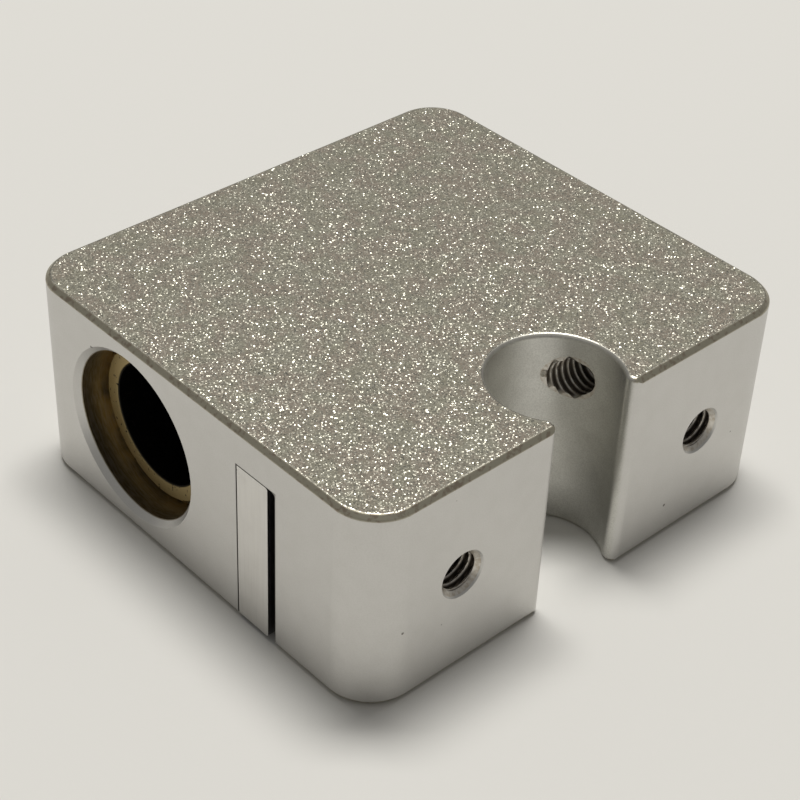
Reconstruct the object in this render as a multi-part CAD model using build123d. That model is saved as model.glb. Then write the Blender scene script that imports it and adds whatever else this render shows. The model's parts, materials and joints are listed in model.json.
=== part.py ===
from build123d import *
import os

# Rod carriage block of a crossed-rod printer gantry, in millimetres.
# +Z is up, the origin is under the middle of the block, and -Y is the front.
# The main rod runs along Y through the bush, the cross rod stands along Z in
# the C-shaped seat, and the belt runs along Y beside the clamp jaw.

# Block
block_x = 31.5
block_y = 34.0
block_z = 14.0
corner_radius = 3.0
edge_chamfer = 0.3
edge_softening = 0.2
mid_z = block_z / 2

# Rods
rod_diameter = 8.0
rod_spacing = 18.0

# Seat of the cross rod, open towards +X
seat_x = 12.4
seat_radius = rod_diameter / 2 + 0.05
seat_chamfer = 0.18
lip_radius = 0.6
slab_size = 60.0

# Plain bearing bush, pressed into the block and set back from both faces
bush_x = seat_x - rod_spacing
bush_length = 30.0
bush_radius = 5.5
bush_bore_radius = rod_diameter / 2 + 0.015
bush_outer_chamfer = 0.5
bush_inner_chamfer = 0.1
bore_chamfer = 0.4

# Belt pocket: runs the whole depth of the block and is open underneath
pocket_left = 4.55
pocket_width = 3.4
pocket_height = 11.5
pocket_corner_radius = 0.3
pocket_right = pocket_left + pocket_width

# Clamp jaw: a loose plate with belt teeth on its left side
jaw_side_gap = 0.08
jaw_thickness = 2.67
jaw_top_gap = 0.05
jaw_foot_gap = 0.3
jaw_edge_break = 0.1
belt_pitch = 2.0
belt_tooth_radius = 0.555
belt_tooth_depth = 0.75
jaw_left = pocket_left + jaw_side_gap
jaw_right = jaw_left + jaw_thickness
tooth_count = round(block_y / belt_pitch)

# M3 tapped holes, drawn at the thread's outer radius, and their grub screws
thread_radius = 1.5
mouth_chamfer = 0.1
screw_radius = 1.45
screw_chamfer = 0.35
socket_across_flats = 1.5
socket_depth = 1.4

clamp_hole_y = 10.0
clamp_screw_length = 5.0
clamp_screw_tip_x = jaw_right + 0.02

lock_hole_x = 10.6
lock_hole_z = 11.1
lock_screw_length = 6.0
lock_screw_tip_y = 7.95

# Radii closer than this are taken as equal
edge_tolerance = 0.01


def along_x(x, y, z):
    """A place whose local Z points along +X."""
    return Location((x, y, z), (0, 90, 0))


def along_y(x, y, z):
    """A place whose local Z points along +Y."""
    return Location((x, y, z), (-90, 0, 0))


def rod_from(place, radius, length):
    """A cylinder that starts at a place and runs along its local Z."""
    cylinder = Cylinder(radius, length, align=(Align.CENTER, Align.CENTER, Align.MIN))
    return place * cylinder


def hole_mouth(place, radius, chamfer):
    """The cone that breaks a hole's edge, at a place that faces into the hole."""
    cone = Cone(
        radius + chamfer,
        radius,
        chamfer,
        align=(Align.CENTER, Align.CENTER, Align.MIN),
    )
    return place * cone


def edges_at(body, level):
    """The edges that lie wholly at one height."""
    low, high = level - edge_tolerance, level + edge_tolerance
    return body.edges().filter_by_position(Axis.Z, low, high).filter_by(
        lambda edge: edge.bounding_box().size.Z < edge_tolerance
    )


def broken_edges(body, size):
    """Chamfers the top and bottom edges and softens the chamfers' own edges."""
    body = chamfer(body.faces().sort_by(Axis.Z)[-1].edges(), size)
    body = chamfer(body.faces().sort_by(Axis.Z)[0].edges(), size)
    for level in (size, block_z - size, block_z, 0):
        body = fillet(edges_at(body, level), edge_softening)
    return body


def seat_slab():
    """Slab that only the seat shapes: flush with the lips' face, too large elsewhere."""
    centre_x = block_x / 2 - slab_size / 2
    outline = Pos(centre_x, 0) * Rectangle(slab_size, slab_size)
    slab = extrude(outline - Pos(seat_x, 0) * Circle(seat_radius), block_z)
    upright = slab.edges().filter_by(Axis.Z)
    slab = fillet([edge for edge in upright if is_lip(edge)], lip_radius)
    return broken_edges(slab, seat_chamfer)


def is_lip(edge):
    """Whether an upright edge is where the seat opens through the lips' face."""
    at_face = edge.center().X > block_x / 2 - edge_tolerance
    return at_face and abs(edge.center().Y) < seat_radius


def block_body():
    """Rounded block with its edges broken, cut by the slab to give it the C-shaped seat."""
    outline = RectangleRounded(block_x, block_y, corner_radius)
    return broken_edges(extrude(outline, block_z), edge_chamfer) & seat_slab()


def bush_bore():
    """Through bore for the bush, chamfered at both faces."""
    bore = rod_from(along_y(bush_x, -block_y / 2, mid_z), bush_radius, block_y)
    front = Location((bush_x, -block_y / 2, mid_z), (-90, 0, 0))
    rear = Location((bush_x, block_y / 2, mid_z), (90, 0, 0))
    bore += hole_mouth(front, bush_radius, bore_chamfer)
    bore += hole_mouth(rear, bush_radius, bore_chamfer)
    return bore


def belt_pocket():
    """Slot-shaped pocket along Y with small corner radii at its roof."""
    with BuildPart() as pocket:
        with BuildSketch(Plane.XZ.offset(-block_y / 2)):
            with Locations(((pocket_left + pocket_right) / 2, pocket_height / 2)):
                Rectangle(pocket_width, pocket_height)
        extrude(amount=block_y)
        roof = pocket.edges().filter_by(Axis.Y).group_by(Axis.Z)[-1]
        fillet(roof.sort_by(Axis.X)[-1], pocket_corner_radius)
    return pocket.part


def clamp_hole(y):
    """Tapped hole from a lip's face into the belt pocket."""
    depth = block_x / 2 - pocket_right
    start = (pocket_right + pocket_left) / 2
    hole = rod_from(along_x(start, y, mid_z), thread_radius, depth + pocket_width)
    mouth = Location((block_x / 2, y, mid_z), (0, -90, 0))
    return hole + hole_mouth(mouth, thread_radius, mouth_chamfer)


def lock_hole():
    """Tapped hole from the rear face into the flank of the seat."""
    hole = rod_from(along_y(lock_hole_x, 0, lock_hole_z), thread_radius, block_y / 2)
    mouth = Location((lock_hole_x, block_y / 2, lock_hole_z), (90, 0, 0))
    return hole + hole_mouth(mouth, thread_radius, mouth_chamfer)


def slider_block():
    """The whole machined block."""
    block = block_body()
    block -= bush_bore()
    block -= belt_pocket()
    for y in (-clamp_hole_y, clamp_hole_y):
        block -= clamp_hole(y)
    block -= lock_hole()
    return block


def circles_near(shape, radius):
    """The round edges of a shape that have about this radius."""
    edges = shape.edges().filter_by(GeomType.CIRCLE)
    return [edge for edge in edges if abs(edge.radius - radius) < edge_tolerance]


def rod_bush():
    """Bronze tube for the main rod, with its ends broken."""
    start = along_y(bush_x, -bush_length / 2, mid_z)
    bush = rod_from(start, bush_radius, bush_length)
    bush -= rod_from(start, bush_bore_radius, bush_length)
    bush = chamfer(circles_near(bush, bush_radius), bush_outer_chamfer)
    return chamfer(circles_near(bush, bush_bore_radius), bush_inner_chamfer)


def belt_clamp_jaw():
    """Flat bar in the pocket's left part: belt teeth on one side, broken edges."""
    height = pocket_height - jaw_top_gap - jaw_foot_gap
    bar = Box(jaw_thickness, block_y, height)
    bar = chamfer(bar.edges().filter_by(Axis.Y).sort_by(Axis.X)[-2:], jaw_edge_break)
    bar = Pos((jaw_left + jaw_right) / 2, 0, jaw_foot_gap + height / 2) * bar
    groove_x = jaw_left + belt_tooth_depth - belt_tooth_radius
    for index in range(tooth_count):
        y = (index + 0.5) * belt_pitch - block_y / 2
        bar -= Pos(groove_x, y, mid_z) * Cylinder(belt_tooth_radius, block_z)
        mouth = groove_x - jaw_left
        step = Box(mouth, 2 * belt_tooth_radius, block_z)
        bar -= Pos(jaw_left + mouth / 2, y, mid_z) * step
    return bar


def grub_screw(length):
    """Screw along local Z with its point at the origin and its socket on top."""
    screw = rod_from(Location((0, 0, 0)), screw_radius, length)
    screw = chamfer(screw.edges().filter_by(GeomType.CIRCLE), screw_chamfer)
    flat_radius = socket_across_flats / 2
    hexagon = RegularPolygon(flat_radius, 6, major_radius=False)
    socket = extrude(hexagon, socket_depth)
    return screw - Pos(0, 0, length - socket_depth) * socket


def clamp_screw(y):
    """Grub screw that bears on the jaw's right side."""
    return along_x(clamp_screw_tip_x, y, mid_z) * grub_screw(clamp_screw_length)


def rod_lock_screw():
    """Grub screw that bears on the cross rod, backed off in its hole."""
    place = along_y(lock_hole_x, lock_screw_tip_y, lock_hole_z)
    return place * grub_screw(lock_screw_length)


def main():
    os.makedirs("parts", exist_ok=True)
    export_step(slider_block(), "parts/slider_block.step")
    export_step(rod_bush(), "parts/rod_bush.step")
    export_step(belt_clamp_jaw(), "parts/belt_clamp_jaw.step")
    export_step(clamp_screw(-clamp_hole_y), "parts/front_clamp_screw.step")
    export_step(clamp_screw(clamp_hole_y), "parts/rear_clamp_screw.step")
    export_step(rod_lock_screw(), "parts/rod_lock_screw.step")


main()
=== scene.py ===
import json
import math
import bpy
import numpy as np
from mathutils import Matrix, Vector


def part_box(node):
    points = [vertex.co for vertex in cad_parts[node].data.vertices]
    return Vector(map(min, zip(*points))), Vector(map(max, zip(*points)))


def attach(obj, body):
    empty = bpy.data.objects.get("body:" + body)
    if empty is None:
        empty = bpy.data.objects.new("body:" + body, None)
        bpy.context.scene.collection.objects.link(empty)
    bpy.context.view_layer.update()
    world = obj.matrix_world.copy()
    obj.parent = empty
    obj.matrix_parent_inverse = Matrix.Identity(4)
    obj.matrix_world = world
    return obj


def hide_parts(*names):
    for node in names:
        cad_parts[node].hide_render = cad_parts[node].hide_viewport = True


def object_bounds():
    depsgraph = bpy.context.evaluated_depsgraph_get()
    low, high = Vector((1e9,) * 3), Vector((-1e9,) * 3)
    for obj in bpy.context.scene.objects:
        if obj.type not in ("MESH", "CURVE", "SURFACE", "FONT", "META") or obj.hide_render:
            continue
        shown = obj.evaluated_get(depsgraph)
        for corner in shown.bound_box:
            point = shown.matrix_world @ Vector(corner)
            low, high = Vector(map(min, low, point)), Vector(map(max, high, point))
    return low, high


# Rod carriage block: blasted and anodised aluminium, a bronze bush, a loose
# belt jaw and three grub screws. Lengths are in metres, +Z is up, -Y is the front.
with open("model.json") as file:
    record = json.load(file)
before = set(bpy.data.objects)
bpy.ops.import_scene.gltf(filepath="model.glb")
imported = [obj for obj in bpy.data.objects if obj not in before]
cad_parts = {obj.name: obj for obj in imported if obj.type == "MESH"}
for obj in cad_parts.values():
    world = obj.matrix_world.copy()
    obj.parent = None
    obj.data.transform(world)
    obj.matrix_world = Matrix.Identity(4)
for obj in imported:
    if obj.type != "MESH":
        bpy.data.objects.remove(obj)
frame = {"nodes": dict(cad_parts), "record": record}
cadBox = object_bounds()
mm = 0.001
sharpAngle = math.radians(32)       # edges that turn more than this stay sharp
print("frame loaded, nodes:", ", ".join(sorted(frame["nodes"])))


def mountNamed(name):
    # one mount of the part's record
    return next(mount for mount in frame["record"]["mounts"] if mount["name"] == name)


class Wire:
    # one output of a material's nodes; arithmetic on it adds Math nodes, and a number may
    # stand on either side
    def __init__(self, finish, socket):
        self.finish = finish
        self.socket = socket

    def math(self, operation, first, second=0.0):
        settings = {"operation": operation}
        return self.finish.node("ShaderNodeMath", settings, {0: first, 1: second})

    def __add__(self, other):
        return self.math("ADD", self, other)

    def __radd__(self, other):
        return self.math("ADD", other, self)

    def __sub__(self, other):
        return self.math("SUBTRACT", self, other)

    def __rsub__(self, other):
        return self.math("SUBTRACT", other, self)

    def __mul__(self, other):
        return self.math("MULTIPLY", self, other)

    def __rmul__(self, other):
        return self.math("MULTIPLY", other, self)

    def __abs__(self):
        return self.math("ABSOLUTE", self)

    def root(self):
        return self.math("SQRT", self)

    def fract(self):
        return self.math("FRACT", self)

    def smooth(self, low, high, start=0.0, end=1.0):
        # eases from start to end while the value goes from low to high
        settings = {"interpolation_type": "SMOOTHSTEP"}
        values = {"Value": self, "From Min": low, "From Max": high, "To Min": start, "To Max": end}
        return self.finish.node("ShaderNodeMapRange", settings, values)

    def fade(self, low, high):
        # 1 below low, easing to 0 above high
        return self.smooth(low, high, 1.0, 0.0)


class Finish:
    # a material being built
    def __init__(self, name):
        self.material = bpy.data.materials.new(name)
        self.material.use_nodes = True
        self.tree = self.material.node_tree
        self.tree.nodes.clear()

    def node(self, kind, settings=None, inputs=None, out=0):
        # any node: its settings are set first, then its inputs' values or links
        made = self.tree.nodes.new(kind)
        for key, value in (settings or {}).items():
            setattr(made, key, value)
        for key, value in (inputs or {}).items():
            if isinstance(value, Wire):
                self.tree.links.new(value.socket, made.inputs[key])
            else:
                made.inputs[key].default_value = value
        return None if out is None else Wire(self, made.outputs[out])

    def place(self):
        return self.node("ShaderNodeTexCoord", out="Object")

    def facing(self):
        return self.node("ShaderNodeNewGeometry", out="Normal")

    def split(self, vector):
        made = self.node("ShaderNodeSeparateXYZ", {}, {0: vector}).socket.node
        return [Wire(self, made.outputs[axis]) for axis in "XYZ"]

    def noise(self, vector, size, detail=2.0, roughness=0.5):
        values = {"Vector": vector, "Scale": 1.0 / size, "Detail": detail, "Roughness": roughness}
        return self.node("ShaderNodeTexNoise", {}, values)

    def cells(self, vector, size, out="Distance"):
        values = {"Vector": vector, "Scale": 1.0 / size}
        return self.node("ShaderNodeTexVoronoi", {"feature": "F1"}, values, out)

    def specks(self, vector, size, radius, share, core=0.7, spread=0.01):
        # round spots in a share of the cells: the radius is in cells, and core is the solid
        # part of it; cells whose random red lies below the share have a spot
        near = self.cells(vector, size).fade(radius * core, radius)
        red = self.split(self.cells(vector, size, "Color"))[0]
        return near * red.fade(share, share + spread)

    def length(self, first, second):
        # square root of the sum of two squares
        return (first * first + second * second).root()

    def fromAxis(self, place, centre):
        # distance from an axis that runs along y through centre
        x, y, z = self.split(place)
        return self.length(x - centre.x, z - centre.z)

    def fromUpright(self, place, middleX, middleY):
        # distance from an upright axis through those two coordinates
        x, y, z = self.split(place)
        return self.length(x - middleX, y - middleY)

    def level(self, factor, first, second):
        # a number between first and second
        values = {0: factor, 2: first, 3: second}
        return self.node("ShaderNodeMix", {"data_type": "FLOAT"}, values)

    def blend(self, factor, first, second):
        # a colour between first and second
        values = {0: factor, 6: first, 7: second}
        return self.node("ShaderNodeMix", {"data_type": "RGBA"}, values, 2)

    def vector(self, operation, first, second=(0.0, 0.0, 0.0)):
        settings = {"operation": operation}
        return self.node("ShaderNodeVectorMath", settings, {0: first, 1: second})

    def stretched(self, vector, scale):
        return self.vector("MULTIPLY", vector, scale)

    def scaled(self, vector, amount):
        settings = {"operation": "SCALE"}
        return self.node("ShaderNodeVectorMath", settings, {0: vector, "Scale": amount})

    def bump(self, height, distance, strength, normal=None):
        values = {"Height": height, "Distance": distance, "Strength": strength}
        if normal is not None:
            values["Normal"] = normal
        return self.node("ShaderNodeBump", {}, values)

    def done(self, inputs):
        # ends the material in one Principled shader with those inputs
        shader = self.node("ShaderNodeBsdfPrincipled", {}, inputs, "BSDF")
        self.node("ShaderNodeOutputMaterial", {"target": "ALL"}, {"Surface": shader}, None)
        return self.material


def wear(node, material):
    # puts one material on a CAD node
    for slot in frame["nodes"][node].material_slots:
        slot.link = "OBJECT"
        slot.material = material


# Ranges in brackets are where a mask starts and where it is full.
blastLook = {
    "sideColor": (0.645, 0.634, 0.612, 1),
    "topColor": (0.27, 0.258, 0.205, 1),
    "pinkColor": (0.285, 0.240, 0.205, 1),      # warmer clouds on the level faces
    "glintColor": (0.45, 0.44, 0.375, 1),       # grains that can catch the light
    "polishColor": (0.56, 0.54, 0.47, 1),       # the rounding between the top and its bevel
    "seatColor": (0.70, 0.695, 0.655, 1),
    "pocketShadeColor": (0.24, 0.23, 0.22, 1),       # painted shade inside the belt pocket and along its edge, in the gaps round the jaw
    "dullColor": (0.50, 0.49, 0.455, 1),        # faint clouds all over
    "dustColor": (0.40, 0.39, 0.36, 1),         # fine dust on what isn't level
    "bevelShadeColor": (0.46, 0.43, 0.34, 1),         # painted shade on the small bevels
    "stainColor": (0.30, 0.24, 0.185, 1),       # where those are nicked and stained
    "oilAndShadeColor": (0.17, 0.125, 0.055, 1),        # brown oil that has crept out of the bush, partly painted shade and reflection in the bore
    "goldReflectionColor": (0.50, 0.37, 0.15, 1),         # a painted reflection of the bronze bush, golden
    "speckColor": (0.10, 0.09, 0.08, 1),
    "sideRoughness": 0.42,
    "grainRoughness": 0.75,
    "glintRoughness": 0.30,
    "polishRoughness": 0.20,
    "roughnessSpread": 0.08,
    "grain": 0.072 * mm,
    "grainLean": 0.25,                          # how far dull grains lean, and the bright ones
    "glintLean": 0.66,
    "glintShare": 0.62,
    "glintDraw": 13.7,                          # turns a cell's colour into a second draw
    "polishCalm": 0.6,                          # how much the polish takes off the lean
    "midHeight": 7 * mm,
    "rimBand": (6.5 * mm, 6.7 * mm),            # from mid height out to the bevels and beyond
    "levelRise": (0.88, 0.97),                  # upright part of the normal: on level faces,
    "polishRise": (0.985, 0.998),               # on the rounding beside them
    "bevelRise": (0.10, 0.35),                  # and on the bevels
    "nickSize": 0.35 * mm,
    "polishNicks": (0.36, 0.56),
    "polishLeast": 0.25,                        # polish that is left in the nicks
    "stainNicks": (0.50, 0.66),
    "stainMost": 0.75,
    "cloudSize": 1.3 * mm,
    "cloudRange": (0.30, 0.75),
    "dullAmount": 0.13,
    "seatDull": 0.2,                            # added in the seat, as is seatDust
    "warmSize": 1.6 * mm,
    "warmRange": (0.38, 0.62),
    "warmAmount": 0.65,
    "fineSize": 0.09 * mm,
    "fineRange": (0.35, 0.70),
    "fineDepth": 0.006 * mm,
    "fineBump": 0.6,
    "dustAmount": 0.09,
    "seatDust": 0.25,
    "speckSize": 2.6 * mm,
    "speckRadius": 0.045,
    "speckShare": 0.5,
    "speckAmount": 0.8,
    "seatWall": (4.3 * mm, 4.6 * mm),           # from the seat's axis
    "seatBevelEase": 0.7,                           # how much less its bevels get the painted shade and stains
    "pocketOffset": 0.57 * mm,                  # room right of the jaw less the room left of it
    "pocketWall": (1.73 * mm, 1.765 * mm),      # from the pocket's middle
    "pocketTop": (0.075 * mm, 0.11 * mm),       # above the jaw
    "boreWall": (5.53 * mm, 5.56 * mm),         # from the bush's axis, inside the bevelled mouth
    "boreReach": (16.6 * mm, 16.7 * mm),        # from the block's middle, along the bore
    "ringSize": 0.11 * mm,
    "ringStretch": (0.15, 1.0, 0.15),
    "ringRange": (0.25, 0.75),
    "oilAmounts": (0.95, 0.70),
    "goldReflectionReach": (14.9 * mm, 16.2 * mm),        # brown oil up to here, the painted golden reflection further out
    "goldReflectionSize": 2.2 * mm,
    "goldReflectionRange": (0.40, 0.60),
    "goldReflectionLeast": 0.35,
}


def blockFinish():
    # each Voronoi cell of the level faces leans its own way and some cells glint; the rounding
    # beside them is polished, the bevels get painted shade and stains, the sides are satin, the
    # pocket gets painted shade and the bore is oily, with a painted reflection of the bush
    look = blastLook
    finish = Finish("blastedAluminium")
    place = finish.place()
    normal = finish.facing()
    across, along, up = finish.split(place)
    rise = abs(finish.split(normal)[2])
    nicks = finish.noise(place, look["nickSize"], detail=3.0)
    cloud = finish.noise(place, look["cloudSize"], detail=4.0)
    warm = finish.noise(place, look["warmSize"])
    fine = finish.noise(place, look["fineSize"])

    # masks: level faces, their polished rounding, the bevels, the seat and the specks
    outside = abs(up - look["midHeight"]).smooth(*look["rimBand"])
    flat = rise.smooth(*look["levelRise"]) * outside
    polish = flat * rise.fade(*look["polishRise"])
    polish = polish * nicks.smooth(*look["polishNicks"], look["polishLeast"], 1.0)
    bevel = rise.smooth(*look["bevelRise"]) * (1 - flat) * outside
    seatAxis = mountNamed("cross_rod_seat")["pos_m"]
    seat = finish.fromUpright(place, seatAxis[0], seatAxis[1]).fade(*look["seatWall"])
    speck = finish.specks(place, look["speckSize"], look["speckRadius"], look["speckShare"])
    speck = speck * (1 - flat)

    # painted shade in the pocket round the jaw and along its edge, and the oily bore round the
    # bush with a painted reflection of its bronze
    low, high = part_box("belt_clamp_jaw")
    pocketMiddle = (low.x + high.x + look["pocketOffset"]) / 2
    bottom, top = look["pocketTop"]
    pocket = abs(across - pocketMiddle).fade(*look["pocketWall"])
    pocket = pocket * up.fade(high.z + bottom, high.z + top)
    low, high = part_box("rod_bush")
    bore = finish.fromAxis(place, (low + high) / 2).fade(*look["boreWall"])
    rings = finish.noise(finish.stretched(place, look["ringStretch"]), look["ringSize"])
    oil = bore * abs(along).fade(*look["boreReach"])
    oil = oil * rings.smooth(*look["ringRange"], *look["oilAmounts"])
    goldReflection = finish.noise(place, look["goldReflectionSize"])
    goldReflection = abs(along).fade(*look["goldReflectionReach"]) * goldReflection.smooth(
        *look["goldReflectionRange"], look["goldReflectionLeast"], 1.0)

    # grains: a random lean for each cell, larger in the cells that glint
    tint = finish.cells(place, look["grain"], "Color")
    chance = (finish.split(tint)[2] * look["glintDraw"]).fract()
    glint = chance.smooth(1 - look["glintShare"], 1) * flat
    lean = finish.vector("SUBTRACT", tint, (0.5, 0.5, 0.5))
    amount = flat * look["grainLean"] + glint * (look["glintLean"] - look["grainLean"])
    amount = amount * (1 - polish * look["polishCalm"])
    leaning = finish.vector("ADD", normal, finish.scaled(lean, amount))
    grained = finish.vector("NORMALIZE", leaning)

    dull = cloud.smooth(*look["cloudRange"]) * (seat * look["seatDull"] + look["dullAmount"])
    dust = fine.smooth(*look["fineRange"]) * (1 - flat)
    dust = dust * (seat * look["seatDust"] + look["dustAmount"])
    pink = warm.smooth(*look["warmRange"]) * flat * look["warmAmount"]
    stain = nicks.smooth(*look["stainNicks"], 0.0, look["stainMost"])
    edge = finish.blend(stain, look["bevelShadeColor"], look["stainColor"])
    oilAndReflection = finish.blend(goldReflection, look["oilAndShadeColor"], look["goldReflectionColor"])
    color = finish.blend(seat, look["sideColor"], look["seatColor"])
    color = finish.blend(flat, color, look["topColor"])
    color = finish.blend(dull, color, look["dullColor"])
    color = finish.blend(dust, color, look["dustColor"])
    # the pocket and the gaps round the jaw get painted shade
    color = finish.blend(pocket, color, look["pocketShadeColor"])
    color = finish.blend(pink, color, look["pinkColor"])
    color = finish.blend(glint, color, look["glintColor"])
    color = finish.blend(polish, color, look["polishColor"])
    # the bevels get painted shade, stained in the nicks
    color = finish.blend(bevel * (1 - seat * look["seatBevelEase"]), color, edge)
    color = finish.blend(speck * look["speckAmount"], color, look["speckColor"])
    # the bore's oil, turning to a painted reflection of the bronze bush
    color = finish.blend(oil, color, oilAndReflection)
    rough = finish.level(flat, look["sideRoughness"], look["grainRoughness"])
    rough = finish.level(glint, rough, look["glintRoughness"])
    rough = finish.level(polish, rough, look["polishRoughness"])
    return finish.done({
        "Base Color": color, "Metallic": 1.0,
        "Roughness": rough + (fine - 0.5) * look["roughnessSpread"],
        "Normal": finish.bump(fine, look["fineDepth"], look["fineBump"], grained),
    })


bushLook = {
    "color": (0.46, 0.36, 0.18, 1),
    "patchColor": (0.36, 0.29, 0.15, 1),
    "pitColor": (0.035, 0.025, 0.012, 1),
    "oilAndShadeColor": (0.016, 0.015, 0.013, 1),       # painted shade down the bore, on the running surface that oil wets
    "boreShadeWall": (4.05 * mm, 4.13 * mm),          # from the bush's axis
    "wornWall": (4.9 * mm, 5.3 * mm),
    "wornPits": 0.12,                           # more open pores by the outer bevel
    "pitSize": 0.35 * mm,
    "pitRange": (0.60, 0.68),
    "pitDepth": 0.03 * mm,
    "pitBump": 0.7,
    "patchSize": 1.6 * mm,
    "patchRange": (0.4, 0.7),
    "patchAmount": 0.5,
    "roughness": 0.38,
    "roughnessSpread": 0.2,
}


def bushFinish():
    # sintered bronze with open pores, painted black down the bore where the rod runs, as shade and
    # oil
    look = bushLook
    finish = Finish("sinteredBronze")
    place = finish.place()
    low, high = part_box("rod_bush")
    away = finish.fromAxis(place, (low + high) / 2)
    boreShade = away.fade(*look["boreShadeWall"])
    worn = away.smooth(*look["wornWall"], 0.0, look["wornPits"])
    pores = finish.noise(place, look["pitSize"], detail=3.0, roughness=0.6)
    pits = (pores + worn).smooth(*look["pitRange"])
    patch = finish.noise(place, look["patchSize"], detail=3.0)
    patches = patch.smooth(*look["patchRange"], 0.0, look["patchAmount"])
    color = finish.blend(patches, look["color"], look["patchColor"])
    color = finish.blend(pits, color, look["pitColor"])
    # painted shade down the bore
    color = finish.blend(boreShade, color, look["oilAndShadeColor"])
    return finish.done({
        "Base Color": color, "Metallic": 1.0,
        "Roughness": look["roughness"] + patch * look["roughnessSpread"],
        "Normal": finish.bump(1 - pits, look["pitDepth"], look["pitBump"]),
    })


jawLook = {
    "color": (0.70, 0.685, 0.655, 1),
    "streakColor": (0.52, 0.50, 0.47, 1),
    "flankShadeColor": (0.24, 0.235, 0.23, 1),       # painted shade on the long sides inside the pocket
    "pitColor": (0.12, 0.10, 0.09, 1),
    "endFacing": (0.5, 0.9),                    # the normal's part along y, on the two ends
    "markWidth": 0.16 * mm,
    "markStretch": (1.0, 1.0, 0.04),
    "markRange": (0.40, 0.70),
    "markAmount": 0.16,
    "markDepth": 0.006 * mm,
    "markBump": 0.5,
    "cloudSize": 1.5 * mm,
    "cloudRange": (0.45, 0.75),
    "cloudAmount": 0.15,
    "pitSize": 1.9 * mm,
    "pitRadius": 0.05,
    "pitShare": 0.6,
    "pitAmount": 0.85,
    "roughness": 0.36,
    "roughnessSpread": 0.1,
}


def jawFinish():
    # milled ends with marks down their height; the flanks are painted dark as shade inside the
    # pocket
    look = jawLook
    finish = Finish("milledAluminium")
    place = finish.place()
    marks = finish.noise(finish.stretched(place, look["markStretch"]), look["markWidth"])
    cloud = finish.noise(place, look["cloudSize"], detail=3.0)
    end = abs(finish.split(finish.facing())[1]).smooth(*look["endFacing"])
    pit = finish.specks(place, look["pitSize"], look["pitRadius"], look["pitShare"])
    streaks = marks.smooth(*look["markRange"], 0.0, look["markAmount"])
    clouds = cloud.smooth(*look["cloudRange"], 0.0, look["cloudAmount"])
    color = finish.blend(streaks, look["color"], look["streakColor"])
    color = finish.blend(clouds, color, look["streakColor"])
    color = finish.blend(pit * look["pitAmount"], color, look["pitColor"])
    # painted shade on the flanks, everywhere but the two ends
    color = finish.blend(end, look["flankShadeColor"], color)
    return finish.done({
        "Base Color": color, "Metallic": 1.0,
        "Roughness": look["roughness"] + (cloud - 0.5) * look["roughnessSpread"],
        "Normal": finish.bump(marks, look["markDepth"], look["markBump"]),
    })


threadLook = {
    "pitch": 0.5 * mm,
    "outer": 1.497 * mm,        # hidden back of the thread, against the hole's wall
    "root": 1.488 * mm,         # bottom of the tapped groove
    "crest": 1.235 * mm,        # top of the tapped ridge
    "mouth": 1.60 * mm,         # countersink's radius at the face
    "rootFlat": 0.10,           # shares of one pitch
    "crestFlat": 0.22,
    "turns": 96,                # points round the hole
    "seatTurns": 192,           # and round the lock hole's inner end, which a round wall cuts
    "steps": 14,                # points along one pitch
    "clampStop": 0.75 * mm,     # the clamp holes' thread ends this far short of the screw
    "lockStop": 0.55 * mm,      # and the lock hole's
    "seatBack": 0.5 * mm,       # its inner end begins this far past the screw's tip
    "seatLift": 0.004 * mm,     # and stays this far inside the seat's wall
    "seatEase": 0.02 * mm,      # its last rows begin this far short of the wall
    "rimTries": 60,             # radii tried for where the thread leaves the wall
    "rimSlack": 1e-6 * mm,
    "grooveShadeFade": 0.55 * mm,     # how far in from the seat's wall the grooves' painted shade fades out
    "color": (0.66, 0.63, 0.58, 1),
    "dullColor": (0.50, 0.45, 0.38, 1),
    "grooveShadeColor": (0.11, 0.092, 0.075, 1),
    "grooveRange": (0.45, 0.95),
    "mottleSize": 0.25 * mm,
    "mottleRange": (0.4, 0.7),
    "mottleDepth": 0.01 * mm,
    "mottleBump": 0.4,
    "roughness": 0.32,
    "roughnessSpread": 0.15,
}
screwLook = {
    "crest": 1.42 * mm,
    "root": 1.165 * mm,
    "crestFlat": 0.14,          # shares of one pitch
    "rootFlat": 0.26,
    "turns": 96,                # points round the screw
    "chamfer": 0.35 * mm,
    "point": 0.75 * mm,         # radius of the cup point's rim
    "cupRim": 0.97,             # inner edge of that rim, as a share of it
    "cupSink": 0.01 * mm,
    "cupDepth": 0.25 * mm,
    "socket": 1.5 * mm,         # across its flats
    "socketDepth": 1.4 * mm,
    "socketBevel": 0.06 * mm,
    "drillDip": 0.25 * mm,      # the socket floor's cone
    "pole": 0.02 * mm,          # radius of the small caps that close both ends
    "color": (0.028, 0.028, 0.031, 1),
    "brownColor": (0.07, 0.065, 0.06, 1),
    "metallic": 0.9,
    "mottleSize": 0.3 * mm,
    "mottleRange": (0.35, 0.75),
    "mottleDepth": 0.008 * mm,
    "mottleBump": 0.4,
    "roughness": 0.34,
    "roughnessSpread": 0.15,
}


def threadFinish():
    # the tapped walls: bright on the ridges' tops, with painted shade in the grooves
    look = threadLook
    finish = Finish("tappedAluminium")
    place = finish.place()
    ridgeHeight = finish.node("ShaderNodeAttribute", {"attribute_name": "ridge"}, out="Fac")
    mottle = finish.noise(place, look["mottleSize"], detail=3.0)
    color = finish.blend(mottle.smooth(*look["mottleRange"]), look["color"], look["dullColor"])
    # painted shade in the grooves, from each point's height on the thread
    color = finish.blend(ridgeHeight.smooth(*look["grooveRange"]), look["grooveShadeColor"], color)
    return finish.done({
        "Base Color": color, "Metallic": 1.0,
        "Roughness": look["roughness"] + mottle * look["roughnessSpread"],
        "Normal": finish.bump(mottle, look["mottleDepth"], look["mottleBump"]),
    })


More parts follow.
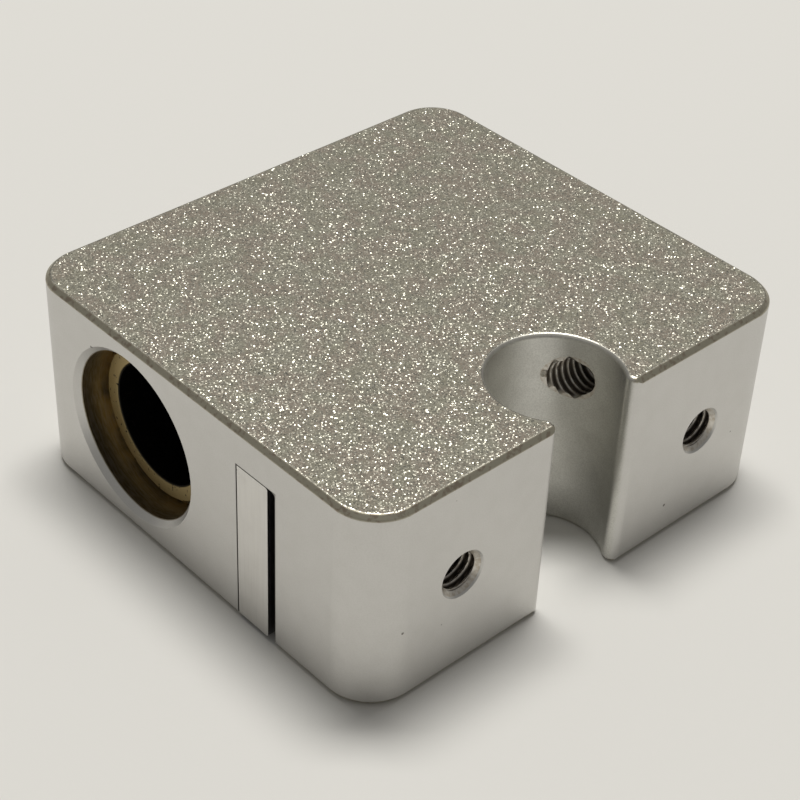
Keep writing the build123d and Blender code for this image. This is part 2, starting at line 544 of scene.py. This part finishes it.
def screwFinish():
    # black oxide that has gone brown in places
    look = screwLook
    finish = Finish("blackOxideSteel")
    place = finish.place()
    mottle = finish.noise(place, look["mottleSize"], detail=3.0)
    color = finish.blend(mottle.smooth(*look["mottleRange"]), look["color"], look["brownColor"])
    return finish.done({
        "Base Color": color, "Metallic": look["metallic"],
        "Roughness": look["roughness"] + mottle * look["roughnessSpread"],
        "Normal": finish.bump(mottle, look["mottleDepth"], look["mottleBump"]),
    })


def ridge(phase, flatLow, flatHigh):
    # 0 on the low flat, 1 on the high flat and straight flanks between, over one pitch
    away = np.abs((phase % 1.0) - 0.5) * 2.0
    return 1.0 - np.clip((away - flatHigh) / (1.0 - flatLow - flatHigh), 0.0, 1.0)


def roundAngles(turns):
    # evenly spaced angles of one turn
    return np.arange(turns) * 2 * math.pi / turns


def placed(hole, radius, angle, depth):
    # mouth + radius * (cosine * up + sine * side) + depth * inward, for every point of a grid
    across = radius * np.cos(angle)
    along = radius * np.sin(angle)
    parts = (across, hole["up"]), (along, hole["side"]), (depth, hole["inward"])
    steps = (value[..., None] * np.array(axis) for value, axis in parts)
    return sum(steps, np.array(hole["mouth"]))


def gridFaces(rows, columns, closed):
    # quads between the rows of a grid whose columns wrap; closed also joins last row to first
    index = np.arange(rows * columns).reshape(rows, columns)
    below = np.roll(index, -1, axis=0) if closed else index[1:]
    above = index if closed else index[:-1]
    quads = np.stack([below, np.roll(below, -1, 1), np.roll(above, -1, 1), above], -1)
    return quads.reshape(-1, 4).tolist()


def addPiece(name, points, faces, material, body, ridges):
    # ridges holds each point's height on the thread, 0 in the groove and 1 on the ridge
    mesh = bpy.data.meshes.new(name)
    mesh.from_pydata(points.reshape(-1, 3).tolist(), [], faces)
    heights = mesh.attributes.new("ridge", "FLOAT", "POINT")
    heights.data.foreach_set("value", ridges.ravel().astype(float))
    mesh.update()
    mesh.shade_smooth()
    mesh.set_sharp_from_angle(angle=sharpAngle)
    mesh.materials.append(material)
    piece = bpy.data.objects.new(name, mesh)
    bpy.context.scene.collection.objects.link(piece)
    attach(piece, body)
    return piece


def tappedRadius(angle, depth):
    # root less the ridge's height, which winds right-handed, one pitch a turn
    look = threadLook
    phase = depth / look["pitch"] - angle / (2 * math.pi)
    height = ridge(phase, look["rootFlat"], look["crestFlat"])
    return look["root"] + (look["crest"] - look["root"]) * height


def tappedRidges(radius):
    # a tapped point's height on the thread, from its radius
    look = threadLook
    return (look["root"] - radius) / (look["root"] - look["crest"])


def tappedLiner(name, hole, end, material):
    # closed ring from the face down to a depth: a countersink whose radius shrinks as it goes
    # down until the thread's crest, the thread from there on, and a plain wall outside
    look = threadLook
    angle = roundAngles(look["turns"])
    start = look["mouth"] - look["root"]
    rows = int(np.ceil((end - start) / look["pitch"] * look["steps"]))
    depth = np.linspace(start, end, rows)[:, None] + 0 * angle
    cone = look["mouth"] - depth
    thread = tappedRadius(angle, depth)
    radius = np.minimum(np.where(cone > look["crest"], cone, thread), look["root"])
    ring = np.ones_like(angle)
    allRadius = np.vstack([radius, look["outer"] * ring, look["outer"] * ring])
    allDepth = np.vstack([depth, end * ring, start * ring])
    points = placed(hole, allRadius, angle, allDepth)
    faces = gridFaces(len(allRadius), angle.size, True)
    countersunk = allDepth < look["mouth"] - look["crest"]
    ridges = np.where(countersunk, 1.0, tappedRidges(allRadius))
    return addPiece(name, points, faces, material, "block", ridges)


def seatDepth(hole, radius, angle):
    # how deep the rod seat's round wall is at each point: the mouth's y less half the
    # circle's chord there, less a small lift
    seat = mountNamed("cross_rod_seat")
    x = hole["mouth"][0] + radius * np.sin(angle) * hole["side"][0]
    seatRadius = seat["dims"]["r_mm"] * mm
    wall = np.sqrt(seatRadius ** 2 - (x - seat["pos_m"][0]) ** 2)
    return hole["mouth"][1] - wall - threadLook["seatLift"]


def tappedSeat(name, hole, back, material):
    # closed ring from a depth to the seat's wall; its last row is where the thread's own
    # surface runs out of that wall, found as the smallest radius that is still in metal
    look = threadLook
    angle = roundAngles(look["seatTurns"])
    tries = np.linspace(look["root"], look["crest"], look["rimTries"])[:, None]
    solid = tries >= tappedRadius(angle, seatDepth(hole, tries, angle)) - look["rimSlack"]
    firstGap = np.argmin(np.vstack([solid, np.zeros((1, angle.size), bool)]), 0)
    rim = tries[np.clip(firstGap - 1, 0, len(tries) - 1), 0]
    rimDepth = seatDepth(hole, rim, angle)
    ends = seatDepth(hole, np.array([[look["crest"]], [look["root"]]]), angle)
    bodyEnd = ends.min(0) - look["seatEase"]
    rows = int(np.ceil((bodyEnd.max() - back) / look["pitch"] * look["steps"]))
    share = np.linspace(0, 1, rows)[:, None]
    lastShare = np.linspace(0, 1, look["steps"])[1:, None]
    body = back + (bodyEnd - back) * share
    depth = np.vstack([body, bodyEnd + (rimDepth - bodyEnd) * lastShare])
    radius = tappedRadius(angle, depth)
    radius[-1] = rim
    outer = np.full_like(angle, look["outer"])
    allRadius = np.vstack([radius, outer, outer])
    allDepth = np.vstack([depth, seatDepth(hole, outer, angle), np.full_like(angle, back)])
    points = placed(hole, allRadius, angle, allDepth)
    faces = gridFaces(len(allRadius), angle.size, True)
    # near the seat's wall the grooves lose their painted shade
    worn = 1 - (seatDepth(hole, allRadius, angle) - allDepth) / look["grooveShadeFade"]
    ridges = np.maximum(tappedRidges(allRadius), np.clip(worn, 0, 1))
    return addPiece(name, points, faces, material, "block", ridges)


def screwBody(name, hole, tip, head, material, body):
    # one grid from the cup point's centre, over the thread, down the hex socket to its floor;
    # the thread's radius is cut by a 45 degree cone at each end, and the hexagon's radius is
    # half its flats over the cosine of the angle from the nearest flat
    look = screwLook
    angle = roundAngles(look["turns"])
    ring = np.ones_like(angle)
    sector = math.pi / 3
    hexRadius = look["socket"] / 2 / np.cos((angle + sector / 2) % sector - sector / 2)
    rows = int((tip - head) / threadLook["pitch"] * threadLook["steps"])
    depth = np.linspace(tip, head, rows)[:, None] + 0 * angle
    phase = depth / threadLook["pitch"] - angle / (2 * math.pi)
    groove = ridge(phase, look["crestFlat"], look["rootFlat"])
    thread = look["crest"] - (look["crest"] - look["root"]) * groove
    tipCone = look["point"] + tip - depth
    headCone = look["crest"] - look["chamfer"] + (depth - head)
    radius = np.minimum(np.minimum(thread, tipCone), headCone)
    socketFloor = head + look["socketDepth"]
    cup = [
        (look["pole"] * ring, (tip - look["cupDepth"]) * ring),
        (look["point"] * look["cupRim"] * ring, (tip - look["cupSink"]) * ring),
    ]
    socket = [
        (hexRadius + look["socketBevel"], head * ring),
        (hexRadius, (head + look["socketBevel"]) * ring),
        (hexRadius, socketFloor * ring),
        (look["pole"] * ring, (socketFloor + look["drillDip"]) * ring),
    ]
    allRadius = np.vstack([r for r, d in cup] + [radius] + [r for r, d in socket])
    allDepth = np.vstack([d for r, d in cup] + [depth] + [d for r, d in socket])
    points = placed(hole, allRadius, angle, allDepth)
    count, turns = allRadius.shape
    faces = gridFaces(count, turns, False)
    faces.append(list(range(turns)))
    faces.append(list(range(count * turns - 1, (count - 1) * turns - 1, -1)))
    ridges = (allRadius - look["root"]) / (look["crest"] - look["root"])
    return addPiece(name, points, faces, material, body, ridges)


def holeAlongX(node):
    # the hole that a screw sits in, entered from the right
    low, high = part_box(node)
    mouth = (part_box("slider_block")[1].x, (low.y + high.y) / 2, (low.z + high.z) / 2)
    return {"mouth": mouth, "up": (0, 0, 1), "side": (0, 1, 0), "inward": (-1, 0, 0)}


def holeAlongY(node):
    # the hole that a screw sits in, entered from the back
    low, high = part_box(node)
    mouth = ((low.x + high.x) / 2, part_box("slider_block")[1].y, (low.z + high.z) / 2)
    return {"mouth": mouth, "up": (0, 0, 1), "side": (-1, 0, 0), "inward": (0, -1, 0)}


def buildThreads():
    # each screw's depths run from its hole's mouth
    look = threadLook
    tapped = threadFinish()
    steel = screwFinish()
    for side in ("front", "rear"):
        node = side + "_clamp_screw"
        hole = holeAlongX(node)
        low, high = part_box(node)
        head, tip = hole["mouth"][0] - high.x, hole["mouth"][0] - low.x
        tappedLiner(side + "_hole_thread", hole, head - look["clampStop"], tapped)
        screw = screwBody(side + "_clamp_grub", hole, tip, head, steel, side + "_screw")
        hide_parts(node)
    hole = holeAlongY("rod_lock_screw")
    low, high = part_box("rod_lock_screw")
    head, tip = hole["mouth"][1] - high.y, hole["mouth"][1] - low.y
    tappedLiner("rear_mouth_thread", hole, head - look["lockStop"], tapped)
    tappedSeat("seat_thread", hole, tip + look["seatBack"], tapped)
    screw = screwBody("rod_lock_grub", hole, tip, head, steel, "lock_screw")
    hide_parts("rod_lock_screw")


stageLook = {
    "color": (0.685, 0.676, 0.649, 1),
    "cloudColor": (0.70, 0.69, 0.66, 1),
    "cloudSize": 60 * mm,
    "cloudRange": (0.3, 0.7),
    "cloudAmount": 0.03,
    "toothSize": 0.5 * mm,
    "toothDepth": 0.02 * mm,
    "toothBump": 0.15,
    "roughness": 0.85,
    "roughnessSpread": 0.1,
    "specular": 0.2,
    "size": 4.0,
    "gap": 0.02 * mm,
}
lightLook = {
    "roomColor": (1.0, 0.985, 0.95, 1),
    "roomStrength": 0.235,
    "panelColor": (1.0, 0.985, 0.95),
    "panelPower": 10.48,
    "panelWidth": 0.52,
    "panelDepth": 0.24,
    "panelDistance": 1.10,
    "panelBehind": 12.0,        # degrees that it leans from overhead, away from the camera
}
cameraLook = {
    "azimuth": 46.147,
    "elevation": 37.563,
    "roll": 2.672,
    "distance": 121.585 * mm,
    "aim": (0.585 * mm, -0.867 * mm, -1.33 * mm),       # from the block's middle
    "lens": 87.278,
    "sensor": 36.0,
    "nearest": 0.01,
}


def floorFinish():
    # matt paper with a fine tooth and faint clouds
    look = stageLook
    finish = Finish("palePaper")
    place = finish.place()
    tooth = finish.noise(place, look["toothSize"], detail=4.0)
    cloud = finish.noise(place, look["cloudSize"])
    clouds = cloud.smooth(*look["cloudRange"], 0.0, look["cloudAmount"])
    return finish.done({
        "Base Color": finish.blend(clouds, look["color"], look["cloudColor"]),
        "Roughness": look["roughness"] + tooth * look["roughnessSpread"],
        "Specular IOR Level": look["specular"],
        "Normal": finish.bump(tooth, look["toothDepth"], look["toothBump"]),
    })


def buildStage():
    # one square, a hair under the block
    half = stageLook["size"] / 2
    drop = -stageLook["gap"]
    mesh = bpy.data.meshes.new("floor")
    corners = [(-half, -half, drop), (half, -half, drop), (half, half, drop), (-half, half, drop)]
    mesh.from_pydata(corners, [], [(0, 1, 2, 3)])
    mesh.materials.append(floorFinish())
    floor = bpy.data.objects.new("floor", mesh)
    bpy.context.scene.collection.objects.link(floor)


def towards(azimuth, elevation):
    # unit vector; azimuth 0 is the front (-Y) and 90 is +X
    turn, lift = math.radians(azimuth), math.radians(elevation)
    level = math.cos(lift)
    return Vector((math.sin(turn) * level, -math.cos(turn) * level, math.sin(lift)))


def buildLights():
    # an even room, and one wide panel overhead that faces the block
    look = lightLook
    world = bpy.data.worlds.new("room")
    bpy.context.scene.world = world
    world.use_nodes = True
    room = world.node_tree.nodes["Background"]
    room.inputs["Color"].default_value = look["roomColor"]
    room.inputs["Strength"].default_value = look["roomStrength"]
    direction = towards(cameraLook["azimuth"] + 180, 90 - look["panelBehind"])
    lamp = bpy.data.lights.new("panel", "AREA")
    lamp.shape = "RECTANGLE"
    lamp.size = look["panelWidth"]
    lamp.size_y = look["panelDepth"]
    lamp.energy = look["panelPower"]
    lamp.color = look["panelColor"]
    holder = bpy.data.objects.new("panel", lamp)
    bpy.context.scene.collection.objects.link(holder)
    holder.location = direction * look["panelDistance"]
    holder.rotation_euler = direction.to_track_quat("Z", "Y").to_euler()


def buildCamera():
    # looks at the aim from its azimuth and elevation, then rolls about its own axis
    look = cameraLook
    low, high = cadBox
    target = (Vector(low) + Vector(high)) / 2 + Vector(look["aim"])
    back = towards(look["azimuth"], look["elevation"])
    right = Vector((0, 0, 1)).cross(back).normalized()
    up = back.cross(right)
    rollCos, rollSin = math.cos(math.radians(look["roll"])), math.sin(math.radians(look["roll"]))
    right, up = right * rollCos + up * rollSin, up * rollCos - right * rollSin
    camera = bpy.data.cameras.new("camera")
    camera.lens = look["lens"]
    camera.sensor_width = look["sensor"]
    camera.clip_start = look["nearest"]
    holder = bpy.data.objects.new("camera", camera)
    bpy.context.scene.collection.objects.link(holder)
    spin = Matrix((right, up, back)).transposed().to_4x4()
    holder.matrix_world = Matrix.Translation(target + back * look["distance"]) @ spin
    bpy.context.scene.camera = holder


wear("slider_block", blockFinish())
wear("rod_bush", bushFinish())
wear("belt_clamp_jaw", jawFinish())
print("finishes on the block, bush and jaw")
buildThreads()
print("threads and grub screws built")
buildStage()
buildLights()
buildCamera()
bpy.context.scene.view_settings.view_transform = "Standard"
print("stage, lights and camera set")
